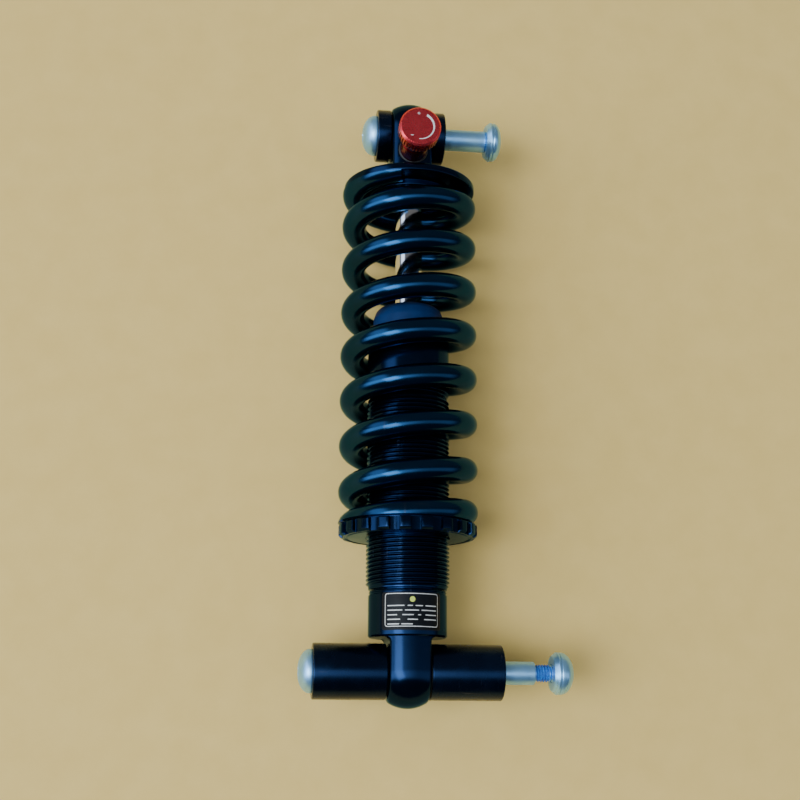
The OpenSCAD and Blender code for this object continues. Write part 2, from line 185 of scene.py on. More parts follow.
def circle(r, height, count=AROUND):
    """A ring of points, or one point on the axis."""
    return [(0, 0, height)] if r < ON_AXIS else around(lambda a: r, height, count)


def hexagon(flat, height, count=AROUND):
    """A ring of points on a hexagon, by its distance from the axis to a flat."""
    sector = math.pi / 3
    return around(lambda a: flat / math.cos((a + sector / 2) % sector - sector / 2), height, count)


def skin(loops, closed=False):
    """Points and faces of the surface through a list of rings, or of rings and end points."""
    verts, faces, starts = [], [], []
    for loop in loops:
        starts.append((len(verts), len(loop)))
        verts += loop
    pairs = list(zip(starts, starts[1:]))
    if closed:
        pairs.append((starts[-1], starts[0]))
    for (a, count_a), (b, count_b) in pairs:
        count = max(count_a, count_b)
        for i in range(count):
            j = (i + 1) % count
            if count_a == 1:
                faces.append((a, b + j, b + i))
            elif count_b == 1:
                faces.append((a + i, a + j, b))
            else:
                faces.append((a + i, a + j, b + j, b + i))
    return verts, faces


def joined(*parts):
    """Several lists of points and faces as one."""
    verts, faces = [], []
    for part_verts, part_faces in parts:
        offset = len(verts)
        verts += part_verts
        faces += [tuple(offset + i for i in face) for face in part_faces]
    return verts, faces


def softened(corners, closed=False, steps=5):
    """An outline of (radius, height) points, from corners that may add the radius of their fillet."""
    points = []
    for i, corner in enumerate(corners):
        here = Vector(corner[:2])
        fillet = corner[2] if len(corner) > 2 else 0
        if not fillet or (not closed and i in (0, len(corners) - 1)):
            points.append(tuple(here))
            continue
        before = (Vector(corners[i - 1][:2]) - here).normalized()
        after = (Vector(corners[(i + 1) % len(corners)][:2]) - here).normalized()
        half = before.angle(after) / 2
        centre = here + (before + after).normalized() * fillet / math.sin(half)
        start = here + before * fillet / math.tan(half) - centre
        end = here + after * fillet / math.tan(half) - centre
        first = math.atan2(start.y, start.x)
        turn = (math.atan2(end.y, end.x) - first + math.pi) % (2 * math.pi) - math.pi
        for k in range(steps + 1):
            a = first + turn * k / steps
            points.append((centre.x + fillet * math.cos(a), centre.y + fillet * math.sin(a)))
    return points


def ring_section(ring_r, section_r, height, count):
    """The outline of a round ring's section, as (radius, height) points."""
    return [(ring_r + x, height + y) for x, y, _ in circle(section_r, 0, count)]


def turned(name, corners, place, closed=True, count=AROUND, sharp_degrees=SHARP_DEGREES):
    """A lathe-turned piece."""
    loops = [circle(r, height, count) for r, height in softened(corners, closed)]
    return smooth_mesh(name, *skin(loops, closed), place, sharp_degrees)


def thread(pitch, root_r, crest_r, low, high, count=AROUND):
    """A right-hand helical thread, open at both ends, that runs out to its root radius there.

    Its shape is given by (share of the pitch, share of the height over the root).
    """
    shape = [(0.0, 0.0), (0.17, 0.0), (0.23, 0.14), (0.42, 0.88), (0.48, 1.0),
             (0.58, 1.0), (0.64, 0.88), (0.83, 0.14), (0.89, 0.0)]
    steps = int(math.ceil((high - low) / pitch + 1)) * count
    verts, faces = [], []
    for k in range(steps + count + 1):
        a = 2 * math.pi * k / count
        for phase, lift in shape:
            height = low - pitch + pitch * (k / count + phase)
            height = min(high, max(low, height))
            fade = min(1.0, (height - low) / pitch, (high - height) / pitch)
            fade = fade * fade * (3 - 2 * fade)
            r = root_r + (crest_r - root_r) * lift * fade
            verts.append((r * math.cos(a), r * math.sin(a), height))
    size = len(shape)
    for k in range(steps):
        for j in range(size):
            a, b = k * size + j, (k + 1) * size + j
            if j + 1 < size:
                faces.append((a, b, b + 1, a + 1))
            else:
                faces.append((a, b, (k + 1 + count) * size, (k + count) * size))
    return verts, faces


def cut(piece, cutter, operation="DIFFERENCE"):
    """Applies an exact boolean to a piece and removes the cutter."""
    modifier = piece.modifiers.new("cut", "BOOLEAN")
    modifier.operation = operation
    modifier.object = cutter
    modifier.solver = "EXACT"
    graph = bpy.context.evaluated_depsgraph_get()
    mesh = bpy.data.meshes.new_from_object(piece.evaluated_get(graph))
    piece.modifiers.clear()
    piece.data = mesh
    bpy.data.objects.remove(cutter)


def bevel_sharp(piece, width, inside):
    """Rounds the sharp edges of a piece whose middle passes a test, given in metres."""
    round_profile, segments, min_degrees = 0.5, 3, 35
    bm = bmesh.new()
    bm.from_mesh(piece.data)
    edges = [e for e in bm.edges
             if len(e.link_faces) == 2
             and e.calc_face_angle(0) > math.radians(min_degrees)
             and inside((e.verts[0].co + e.verts[1].co) / 2)]
    bmesh.ops.bevel(bm, geom=edges, offset=width * MM, segments=segments, affect="EDGES",
                    clamp_overlap=True, profile=round_profile)
    write_back(bm, piece.data, min_degrees)


def dress(piece, material, body):
    """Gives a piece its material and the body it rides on."""
    piece.data.materials.clear()
    piece.data.materials.append(material)
    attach(piece, body)


# ---- Materials ----

# Sockets of a Mix node that mixes colours
MIX_SHARE, MIX_A, MIX_B, MIX_RESULT = 0, 6, 7, 2
# Noise of any scale lies nearly all between these
NOISE_LOW, NOISE_HIGH = 0.3, 0.7


class Shading:
    """Short calls for the nodes of a material or of the world."""

    def __init__(self, owner):
        owner.use_nodes = True
        self.nodes = owner.node_tree.nodes
        self.links = owner.node_tree.links

    def set_or_link(self, socket, value):
        """A socket takes an output, a number or a colour."""
        if isinstance(value, tuple):
            socket.default_value = (*value, 1.0)
        elif isinstance(value, (int, float)):
            socket.default_value = value
        else:
            self.links.new(value, socket)

    def spread(self, value, low, high, to_low=0.0, to_high=1.0, kind="LINEAR"):
        """A value stretched from one range onto another, and held to it."""
        node = self.nodes.new("ShaderNodeMapRange")
        node.interpolation_type = kind
        for name, number in (("From Min", low), ("From Max", high),
                             ("To Min", to_low), ("To Max", to_high)):
            node.inputs[name].default_value = number
        self.links.new(value, node.inputs["Value"])
        return node.outputs["Result"]

    def math(self, operation, a, b):
        node = self.nodes.new("ShaderNodeMath")
        node.operation = operation
        self.set_or_link(node.inputs[0], a)
        self.set_or_link(node.inputs[1], b)
        return node.outputs["Value"]

    def mix(self, share, a, b):
        """Two colours, each plain or an output, mixed by a share."""
        node = self.nodes.new("ShaderNodeMix")
        node.data_type = "RGBA"
        self.links.new(share, node.inputs[MIX_SHARE])
        self.set_or_link(node.inputs[MIX_A], a)
        self.set_or_link(node.inputs[MIX_B], b)
        return node.outputs[MIX_RESULT]

    def axes(self, vector):
        """A vector's three parts."""
        node = self.nodes.new("ShaderNodeSeparateXYZ")
        self.links.new(vector, node.inputs[0])
        return node.outputs


class Finish(Shading):
    """A principled material and short calls for the textures behind it."""

    def __init__(self, name, **constants):
        self.name = name
        self.material = bpy.data.materials.new(name)
        super().__init__(self.material)
        self.shader = self.nodes["Principled BSDF"]
        self.place = self.nodes.new("ShaderNodeTexCoord").outputs["Object"]
        for socket, value in constants.items():
            self.shader.inputs[socket.replace("_", " ")].default_value = value

    def scaled(self, x, y, z):
        """Row-frame coordinates stretched along each axis."""
        node = self.nodes.new("ShaderNodeMapping")
        node.inputs["Scale"].default_value = (x, y, z)
        self.links.new(self.place, node.inputs["Vector"])
        return node.outputs["Vector"]

    def noise(self, scale, detail=4.0, roughness=0.55, vector=None):
        node = self.nodes.new("ShaderNodeTexNoise")
        node.inputs["Scale"].default_value = scale
        node.inputs["Detail"].default_value = detail
        node.inputs["Roughness"].default_value = roughness
        self.links.new(vector or self.place, node.inputs["Vector"])
        return node.outputs["Fac"]

    def cloud(self, scale, detail=4.0, low=0.0, high=1.0):
        """Noise stretched to run from low to high."""
        return self.spread(self.noise(scale, detail), NOISE_LOW, NOISE_HIGH, low, high)

    def colour(self, output):
        self.links.new(output, self.shader.inputs["Base Color"])

    def worn_colour(self, base, marks, share, worn):
        """A base colour, worn where there are marks."""
        self.colour(self.mix(self.math("MULTIPLY", marks, share), base, worn))

    def rough(self, output):
        self.links.new(output, self.shader.inputs["Roughness"])

    def worn_rough(self, base, marks, share):
        """A roughness that rises where there are marks."""
        self.rough(self.math("ADD", base, self.math("MULTIPLY", marks, share)))

    def bumps(self, *layers):
        """Stacked bump layers, each (height, strength, distance in millimetres)."""
        below = None
        for height, strength, distance in layers:
            node = self.nodes.new("ShaderNodeBump")
            node.inputs["Strength"].default_value = strength
            node.inputs["Distance"].default_value = distance * MM
            self.links.new(height, node.inputs["Height"])
            if below:
                self.links.new(below, node.inputs["Normal"])
            below = node.outputs["Normal"]
        self.links.new(below, self.shader.inputs["Normal"])


def scratches(finish, scale):
    """Sparse hair scratches in two directions: the crests of long noise, in patches."""
    one = finish.noise(scale, 2.0, 0.5, finish.scaled(1.0, 0.06, 0.35))
    two = finish.noise(scale, 2.0, 0.5, finish.scaled(0.08, 0.9, 0.3))
    lines = finish.math("MAXIMUM", finish.spread(one, 0.66, 0.74), finish.spread(two, 0.67, 0.75))
    patches = finish.spread(finish.noise(60.0, 2.0), 0.48, 0.66)
    return finish.math("MULTIPLY", lines, patches)


DARK_METAL = 0.97
BLUE_SHEEN = (0.35, 0.55, 0.8, 1.0)


def dark_metal(name, dark, light, cloud, scale, share, worn, rough, **constants):
    """Anodised metal: its colour and its roughness change where it is scratched."""
    finish = Finish(name, Metallic=DARK_METAL, **constants)
    marks = scratches(finish, scale)
    base = finish.mix(finish.cloud(*cloud), dark, light)
    finish.worn_colour(base, marks, share, worn)
    finish.worn_rough(finish.cloud(*rough), marks, 0.2)
    return finish, marks


def black_anodised():
    finish, marks = dark_metal(
        "black_anodised", (0.003, 0.012, 0.038), (0.005, 0.019, 0.060), (45.0, 5.0), 700.0, 0.3,
        (0.05, 0.055, 0.065), (140.0, 6.0, 0.15, 0.23), Coat_Weight=0.08, Coat_Roughness=0.15,
        Specular_Tint=BLUE_SHEEN)
    finish.bumps((finish.noise(2600.0, 3.0), 0.12, 0.02), (marks, 0.2, 0.01))
    return finish


def spacer_black():
    finish, _ = dark_metal(
        "spacer_black", (0.004, 0.014, 0.042), (0.007, 0.022, 0.064), (60.0, 5.0), 850.0, 0.45,
        (0.08, 0.08, 0.085), (180.0, 6.0, 0.22, 0.32), Coat_Weight=0.06, Coat_Roughness=0.25)
    tool = finish.noise(900.0, 2.0, 0.5, finish.scaled(1.0, 0.02, 0.02))
    finish.bumps((tool, 0.12, 0.02), (finish.noise(2400.0, 2.0), 0.1, 0.02))
    return finish


def spring_paint():
    finish = Finish("spring_paint", Metallic=DARK_METAL, Coat_Weight=0.1, Coat_Roughness=0.12,
                    Specular_Tint=BLUE_SHEEN)
    dust = finish.spread(finish.noise(1800.0, 3.0, 0.7), 0.68, 0.78)
    marks = scratches(finish, 520.0)
    cloud = finish.cloud(38.0, 5.0)
    base = finish.mix(cloud, (0.004, 0.026, 0.070), (0.007, 0.040, 0.105))
    specks = finish.math("MAXIMUM", finish.math("MULTIPLY", dust, 0.35), marks)
    finish.worn_colour(base, specks, 0.25, (0.06, 0.065, 0.07))
    finish.worn_rough(finish.cloud(110.0, 6.0, 0.16, 0.24), marks, 0.08)
    finish.bumps((finish.noise(420.0, 3.0, 0.45), 0.22, 0.05), (marks, 0.05, 0.01))
    return finish


def bump_rubber():
    finish = Finish("bump_rubber", Specular_IOR_Level=0.15)
    cloud = finish.cloud(120.0, 6.0)
    dust = finish.spread(finish.noise(2400.0, 2.0), 0.66, 0.75)
    base = finish.mix(cloud, (0.002, 0.020, 0.082), (0.004, 0.031, 0.118))
    finish.worn_colour(base, dust, 0.3, (0.12, 0.12, 0.13))
    finish.rough(finish.cloud(300.0, 5.0, 0.5, 0.68))
    finish.bumps((finish.noise(1500.0, 5.0, 0.6), 0.25, 0.05))
    return finish


def plain(name, dark, light, specular, cloud, rough, grain):
    """Plastic or rubber: a cloud, a roughness and a grain, each by its texture's own figures."""
    finish = Finish(name, Specular_IOR_Level=specular)
    finish.colour(finish.mix(finish.cloud(*cloud), dark, light))
    finish.rough(finish.cloud(*rough))
    scale, strength, distance = grain
    finish.bumps((finish.noise(scale, 3.0), strength, distance))
    return finish


def ink(name, light, dark):
    """Printed or filled marks, a little worn."""
    finish = Finish(name, Roughness=0.5)
    worn = finish.spread(finish.noise(1600.0, 4.0, 0.7), 0.58, 0.76)
    finish.colour(finish.mix(worn, light, dark))
    finish.bumps((finish.noise(3000.0, 2.0), 0.1, 0.01))
    return finish


def chromed_steel():
    finish = Finish("chromed_steel", Metallic=1.0)
    cloud = finish.cloud(90.0, 4.0)
    finish.colour(finish.mix(cloud, (0.66, 0.67, 0.69), (0.76, 0.77, 0.79)))
    hone = finish.noise(1200.0, 3.0, 0.5, finish.scaled(0.05, 1.0, 0.05))
    finish.rough(finish.spread(hone, NOISE_LOW, NOISE_HIGH, 0.06, 0.14))
    finish.bumps((hone, 0.05, 0.01))
    return finish


def bare_metal(name, dark, light, low, high, scale=800.0, stretch=(0.05, 1.0, 0.05), metallic=1.0):
    """Machined or plated metal with tool marks across the stretched axis, rough from low to high."""
    finish = Finish(name, Metallic=metallic)
    cloud = finish.cloud(130.0, 5.0)
    marks = scratches(finish, 900.0)
    base = finish.mix(cloud, dark, light)
    finish.worn_colour(base, marks, 0.4, (0.3, 0.31, 0.33))
    tool = finish.noise(scale, 3.0, 0.55, finish.scaled(*stretch))
    finish.rough(finish.spread(tool, NOISE_LOW, NOISE_HIGH, low, high))
    finish.bumps((tool, 0.12, 0.02), (finish.noise(2200.0, 3.0), 0.12, 0.02))
    return finish


def red_anodised():
    """Red with painted shade: a deep, shaded red down on the stem that brightens up the knob's side
    to the bright red of the face.
    """
    finish = Finish("red_anodised", Metallic=0.95)
    cloud = finish.cloud(300.0, 4.0)
    bright = finish.mix(cloud, (0.80, 0.065, 0.085), (0.92, 0.085, 0.11))
    # Painted shade: the stem and the foot of the knob's side are darkened as if in shadow.
    painted_shade_red = finish.mix(cloud, (0.13, 0.004, 0.008), (0.20, 0.007, 0.013))
    shade_below, bright_above = 0.025, 0.031  # metres from the shock's axis
    height = finish.axes(finish.place)[2]
    finish.colour(finish.mix(finish.spread(height, shade_below, bright_above), painted_shade_red, bright))
    finish.rough(finish.cloud(500.0, 5.0, 0.24, 0.32))
    finish.bumps((finish.noise(2600.0, 3.0), 0.05, 0.02))
    return finish


def threadlock_blue():
    finish = Finish("threadlock_blue", Specular_IOR_Level=0.4, Roughness=0.55)
    cloud = finish.spread(finish.noise(900.0, 5.0, 0.65), 0.35, 0.65)
    finish.colour(finish.mix(cloud, (0.006, 0.075, 0.36), (0.03, 0.22, 0.66)))
    finish.bumps((finish.noise(1600.0, 4.0), 0.4, 0.06))
    return finish


FINISHES = {finish.name: finish.material for finish in (
    black_anodised(), spacer_black(), spring_paint(), bump_rubber(),
    plain("seal_rubber", (0.008, 0.008, 0.009), (0.018, 0.018, 0.019), 0.4,
          (400.0, 4.0), (500.0, 4.0, 0.38, 0.55), (2200.0, 0.15, 0.03)),
    plain("label_film", (0.003, 0.004, 0.006), (0.005, 0.007, 0.010), 0.15,
          (160.0, 4.0), (220.0, 5.0, 0.4, 0.5), (700.0, 0.12, 0.03)),
    plain("bushing_polymer", (0.15, 0.105, 0.055), (0.22, 0.16, 0.085), 0.4,
          (700.0, 5.0), (600.0, 4.0, 0.4, 0.55), (2500.0, 0.15, 0.02)),
    chromed_steel(),
    bare_metal("bare_aluminium", (0.55, 0.56, 0.58), (0.66, 0.67, 0.69), 0.25, 0.4),
    bare_metal("bright_steel", (0.48, 0.49, 0.5), (0.6, 0.61, 0.62), 0.2, 0.35),
    red_anodised(),
    bare_metal("zinc_satin", (0.28, 0.60, 0.98), (0.40, 0.74, 1.0), 0.36, 0.5,
               700.0, (1.0, 0.05, 0.05), 0.9),
    bare_metal("zinc_bright", (0.26, 0.59, 0.98), (0.38, 0.73, 1.0), 0.24, 0.38,
               700.0, (1.0, 0.05, 0.05), 0.85),
    threadlock_blue(),
)}
WHITE_INK = ink("white_ink", (0.78, 0.78, 0.76), (0.35, 0.34, 0.34)).material
LIME_INK = ink("lime_ink", (0.62, 0.72, 0.10), (0.30, 0.36, 0.06)).material

slot_of = {s["node"]: s["material_slot"] for s in record["subparts"]}
for node_name, node_object in frame["nodes"].items():
    node_object.data.materials.clear()
    node_object.data.materials.append(FINISHES[slot_of[node_name]])


def stand_for(piece, node):
    """The piece takes a CAD node's body and the finish of its slot, and is shown in its place."""
    slot = slot_of[node]
    dress(piece, FINISHES[slot], frame["nodes"][node]["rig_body"])
    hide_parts(node)


# ---- Coil spring ----

WIRE_R = 4.4
COIL_R = span("coil_spring", "x")[1] - WIRE_R
SPRING_TURNS = 8.3
TIP_THICKNESS = 2.7  # of the wire's ground ends
# The pitch changes evenly over these stretches, in turns from each end
TOP_RAMP_START, TOP_RAMP_END, BOTTOM_RAMP = 0.5, 1.1, 1.2
TOP_END_PITCH, BOTTOM_END_PITCH = 10.0, 8.0
TOP_END_ANGLE = 104  # degrees round the shock: 90 is the middle of the front


def ramp(t, a, b):
    """Turns gained by turn t where the pitch rises evenly from turn a to turn b."""
    if t <= a:
        return 0.0
    return t - (a + b) / 2 if t >= b else (t - a) ** 2 / (2 * (b - a))


def helix_drop(t):
    """How far the wire's centre has come down, t turns from the top end."""
    total = SPRING_HIGH - SPRING_LOW + 2 * (WIRE_R - TIP_THICKNESS)
    top_middle = (TOP_RAMP_START + TOP_RAMP_END) / 2
    ramps = TOP_END_PITCH * top_middle + BOTTOM_END_PITCH * BOTTOM_RAMP / 2
    active = SPRING_TURNS - top_middle - BOTTOM_RAMP / 2
    pitch = (total - ramps) / active
    return (TOP_END_PITCH * t + (pitch - TOP_END_PITCH) * ramp(t, TOP_RAMP_START, TOP_RAMP_END)
            - (pitch - BOTTOM_END_PITCH) * ramp(t, SPRING_TURNS - BOTTOM_RAMP, SPRING_TURNS))


def share_of_stroke(t):
    """How much of the stroke a point of the wire follows: the end turns keep their shape."""
    last = SPRING_TURNS - 1
    if t <= 1:
        return 1.0
    if t >= last:
        return 0.0
    closed_pitch = (helix_drop(last) - helix_drop(1) - STROKE) / (last - 1)
    return 1 - (helix_drop(t) - helix_drop(1) - closed_pitch * (t - 1)) / STROKE


def wire_section(centre, sides):
    """Points (outward, height) round the wire at a height, ground flat on the seats' planes.

    The points of a ground ring share out the arc that is left, so its flat stays one chord.
    """
    angles = [-math.pi + 2 * math.pi * (i + 0.5) / sides for i in range(sides)]
    up = 1
    room = (centre - SPRING_LOW) / WIRE_R
    if SPRING_HIGH - centre < WIRE_R:
        up = -1
        room = (SPRING_HIGH - centre) / WIRE_R
        angles = [a - math.copysign(math.pi, a) for a in angles]
    left = math.acos(max(-1.0, min(1.0, -room)))
    share = min(1.0, left / (math.pi - math.pi / sides))
    return [(WIRE_R * math.sin(a * share) * up, centre + WIRE_R * math.cos(a * share) * up)
            for a in angles]


def coil_spring():
    """The wire, each end flat on its seat; each ring's share of the stroke is worked out but not put
    on the mesh.
    """
    sides, per_turn = 32, 80
    top = SPRING_HIGH + WIRE_R - TIP_THICKNESS
    steps = round(SPRING_TURNS * per_turn)
    loops, shares = [], []
    for k in range(steps + 1):
        t = SPRING_TURNS * k / steps
        turn = math.radians(TOP_END_ANGLE) + 2 * math.pi * t
        section = wire_section(top - helix_drop(t), sides)
        loops.append([((COIL_R + out) * math.cos(turn), height, (COIL_R + out) * math.sin(turn))
                      for out, height in section])
        shares += [share_of_stroke(t)] * sides
    verts, faces = skin(loops)
    last = len(verts) - sides
    faces += [tuple(range(sides)), tuple(last + i for i in reversed(range(sides)))]
    piece = smooth_mesh("spring_coil", verts, faces, TO_METRES, sharp_degrees=40, weld=False)
    piece.data.materials.append(FINISHES["spring_paint"])
    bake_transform(piece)
    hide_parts("coil_spring")


coil_spring()


# ---- Damper tube, seal head and bump stop ----

TUBE_R = span("damper_tube", "x")[1]
BORE_R = 12.0
THREAD_PITCH, THREAD_DEPTH, THREAD_LENGTH = 1.5, 0.9, 69.0
SHAFT_SHOULDER = 106.4  # where the shaft steps down to the piston's stud


def damper_tube():
    root_r = TUBE_R - THREAD_DEPTH
    low, high = TUBE_LOW + 0.4, TUBE_LOW + THREAD_LENGTH
    ridge = thread(THREAD_PITCH, root_r, TUBE_R, low, high)
    upper = softened([
        (root_r, high), (root_r, high + 0.6, 0.2), (TUBE_R, high + 1.3, 0.3),
        (TUBE_R, TUBE_HIGH, 0.4), (BORE_R, TUBE_HIGH), (BORE_R, TUBE_LOW),
        (root_r, TUBE_LOW, 0.2), (root_r, low)
    ])
    wall = skin([circle(r, height) for r, height in upper])
    piece = smooth_mesh("tube_threaded", *joined(ridge, wall), ON_SHOCK)
    stand_for(piece, "damper_tube")


def seal_head():
    low, high = span("seal_head", "y")
    rim = TUBE_HIGH
    piece = turned("seal_head_turned", [
        (6.2, low), (11.9, low, 0.3), (11.9, rim), (14.2, rim, 0.2), (14.2, rim + 1.1, 0.1),
        (13.9, rim + 1.3, 0.1), (14.2, rim + 1.5, 0.1), (14.2, high, 0.5), (9.2, high, 0.2),
        (9.0, high - 0.4, 0.1), (7.3, high - 0.4, 0.2), (7.3, high - 1.9), (5.3, high - 1.9),
        (5.3, rim), (7.9, rim), (7.9, rim - 2.4), (6.2, rim - 2.4)
    ], ON_SHOCK)
    stand_for(piece, "seal_head")


def wiper_seal():
    low, high = span("wiper_seal", "y")
    piece = turned("wiper_lip", [
        (5.06, low), (7.28, low), (7.28, high - 0.3, 0.2), (6.4, high - 0.3, 0.2),
        (5.8, high, 0.1), (5.06, high - 0.1)
    ], ON_SHOCK)
    stand_for(piece, "wiper_seal")


def bump_stop():
    low, high = span("bump_stop", "y")
    base_r = span("bump_stop", "x")[1]
    piece = turned("bump_stop_dome", [
        (5.4, low), (base_r - 0.5, low, 0.4), (base_r, low + 1.0, 0.5),
        (base_r, low + 5.2, 3.0), (base_r - 1.0, low + 8.1, 2.5), (10.4, high - 0.4, 1.2),
        (8.4, high, 0.8), (5.4, high - 0.5, 0.3)
    ], ON_SHOCK)
    stand_for(piece, "bump_stop")
    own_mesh(piece)


def damper_shaft():
    low, high = span("damper_shaft", "y")
    r = span("damper_shaft", "x")[1]
    bore_r, stud_r = 1.8, 4.0
    piece = turned("chromed_shaft", [
        (bore_r, low), (stud_r - 0.5, low, 0.1), (stud_r, low + 0.5, 0.1),
        (stud_r, SHAFT_SHOULDER), (r, SHAFT_SHOULDER, 0.3), (r, high), (bore_r, high)
    ], ON_SHOCK)
    stand_for(piece, "damper_shaft")


for build in (damper_tube, seal_head, wiper_seal, bump_stop, damper_shaft):
    build()


# ---- Eyes ----

EYE_BORE_R = 6.4
LOWER_BALL_R, UPPER_BALL_R = 12.5, 12.4
LOWER_FLAT_X, UPPER_FLAT_X = 7.2, 7.3
CAP_LOW, CAP_HIGH = 11.5, TUBE_LOW - 0.5
CAP_R = 13.8
AT_PORT = (TO_METRES @ Matrix.Translation((0, (CAP_LOW + CAP_HIGH) / 2, 0))
           @ Matrix.Rotation(math.pi, 4, "X"))


def eye(name, ball_r, flat, neck_length, direction, place):
    """A ball on a neck, with a flat on each side and a bore through both.

    X is the bore and Y the shock's axis. The ball faces along direction on Y, and flat(down)
    is the distance to the flats at a distance down the neck.
    """
    arc_steps, side_steps, end_steps, spoke_steps = 48, 28, 14, 14
    width_steps, corner_steps = 8, 5
    edge, chamfer = 0.7, 0.5
    arc = [math.pi * (i / arc_steps - 0.5) for i in range(arc_steps + 1)]
    outline = [(math.cos(a), math.sin(a), 0.0) for a in arc]
    outline += [(0.0, 1.0, i / side_steps) for i in range(1, side_steps + 1)]
    outline += [(0.0, 1 - 2 * i / end_steps, 1.0) for i in range(1, end_steps)]
    outline += [(0.0, -1.0, 1 - i / side_steps) for i in range(side_steps)]

    def ring(share, out, inset):
        points = []
        for ahead, across, down_share in outline:
            down = down_share * neck_length
            x = share * (flat(down) - edge) + out
            width = math.sqrt(ball_r ** 2 - x ** 2) - inset
            points.append((x, direction * (ahead * width - down), across * width))
        return points

    outer = [ring(k / width_steps, 0.0, 0.0) for k in range(1 - width_steps, width_steps)]
    corner = [math.pi / 2 * k / corner_steps for k in range(corner_steps + 1)]
    right = [ring(1.0, edge * math.sin(a), edge * (1 - math.cos(a))) for a in corner]
    rim_points = right[-1]
    lip = EYE_BORE_R + chamfer
    shrink = EYE_BORE_R / lip
    for k in range(1, spoke_steps + 1):
        loop = []
        for _, y, z in rim_points:
            length = math.hypot(y, z)
            grow = (length + (lip - length) * k / spoke_steps) / length
            loop.append((flat(max(0.0, -direction * y * grow)), y * grow, z * grow))
        right.append(loop)
    right.append([(x - chamfer, y * shrink, z * shrink) for x, y, z in right[-1]])
    left = [[(-x, y, z) for x, y, z in loop] for loop in reversed(right)]
    return smooth_mesh(name, *skin(left + outer + right, closed=True), place)


def neck_flat(down):
    """The lower eye's flats flare out in a fillet under the cap."""
    fillet_r = 1.5
    rise = min(fillet_r, max(0.0, down - (CAP_LOW - fillet_r)))
    return LOWER_FLAT_X + fillet_r - math.sqrt(fillet_r ** 2 - rise ** 2)


def lower_eye_cap():
    spigot_r, spigot_high = 11.95, CAP_HIGH + 6
    piece = eye("lower_eye_cap_body", LOWER_BALL_R, neck_flat, CAP_LOW + 1, -1, TO_METRES)
    cap = turned("cap_turned", [
        (0, CAP_LOW), (CAP_R - 0.6, CAP_LOW, 0.2), (CAP_R, CAP_LOW + 0.6, 0.3),
        (CAP_R, CAP_HIGH - 1.5, 0.2), (CAP_R - 0.45, CAP_HIGH - 1.2, 0.15),
        (CAP_R - 0.45, CAP_HIGH - 0.8, 0.15), (CAP_R - 0.1, CAP_HIGH - 0.55, 0.15),
        (CAP_R - 0.5, CAP_HIGH, 0.1), (spigot_r, CAP_HIGH), (spigot_r, spigot_high, 0.4),
        (0, spigot_high)
    ], ON_SHOCK, closed=False, count=144)
    cut(piece, cap, "UNION")
    port = turned("port_cut", [(0, 8), (3, 8), (3, 13.2), (3.8, 14.2), (3.8, 20), (0, 20)],
                  AT_PORT, closed=False, count=48)
    cut(piece, port)
    piece.data.set_sharp_from_angle(angle=math.radians(35))
    stand_for(piece, "lower_eye_cap")


def charge_port_screw():
    outline = ((0, 8.3), (2.9, 8.3), (2.9, 12.6), (2.75, 12.9), (2.5, 13.0), (1.9, 13.0))
    socket, count = 1.5, 72
    loops = [circle(r, height, count) for r, height in outline]
    loops += [hexagon(socket, 12.8, count), hexagon(socket, 11.0, count), circle(0, 10.5)]
    piece = smooth_mesh("charge_screw_hex", *skin(loops), AT_PORT)
    stand_for(piece, "charge_port_screw")


def upper_eye_head():
    length, recess_r, floor = 20.5, 5.5, 8.0
    shaft_r, low, high = 5.02, 179, 186
    piece = eye("upper_head_body", UPPER_BALL_R, lambda down: UPPER_FLAT_X, length, 1, IN_HEAD)
    cut(piece, turned("recess_cut", [(0, floor), (recess_r, floor), (recess_r, 30), (0, 30)],
                      ON_KNOB, closed=False))
    cut(piece, turned("shaft_cut", [(0, low), (shaft_r, low), (shaft_r, high), (0, high)],
                      ON_SHOCK, closed=False, count=64))
    to_knob = ON_KNOB.inverted()

    def on_recess_mouth(point):
        local = to_knob @ point
        return abs(math.hypot(local.x, local.y) - recess_r) < 0.1 and local.z > floor + 1

    bevel_sharp(piece, 0.3, on_recess_mouth)
    stand_for(piece, "upper_eye_head")


for build in (lower_eye_cap, charge_port_screw, upper_eye_head):
    build()


# ---- Information label: a plain sticker with plain bars ----

def wrapped(x, height, r):
    """A point on the front of a cylinder round the shock, x along its surface."""
    return (r * math.sin(x / r), height, r * math.cos(x / r))


def sticker(name, low_x, high_x, low_u, high_u, corner, r, thickness, material):
    """A thin plate with round corners, wrapped round the cap."""
    column_width = 0.35
    columns = max(8, int((high_x - low_x) / column_width))
    verts, faces = [], []
    for i in range(columns + 1):
        share = 0.5 - 0.5 * math.cos(math.pi * i / columns)
        x = low_x + (high_x - low_x) * share
        edge = min(x - low_x, high_x - x)
        lift = corner - math.sqrt(max(0.0, corner ** 2 - max(0.0, corner - edge) ** 2))
        ends = (low_u + lift, high_u - lift)
        verts += [wrapped(x, u, r + t) for t in (0.0, thickness) for u in ends]
    for i in range(columns):
        a, b = 4 * i, 4 * i + 4
        for j, k in ((0, 1), (1, 3), (3, 2), (2, 0)):
            faces.append((a + j, a + k, b + k, b + j))
    faces += [(0, 1, 3, 2), (4 * columns, 4 * columns + 2, 4 * columns + 3, 4 * columns + 1)]
    piece = smooth_mesh(name, verts, faces, TO_METRES, 60)
    dress(piece, material, "damper")
    return piece


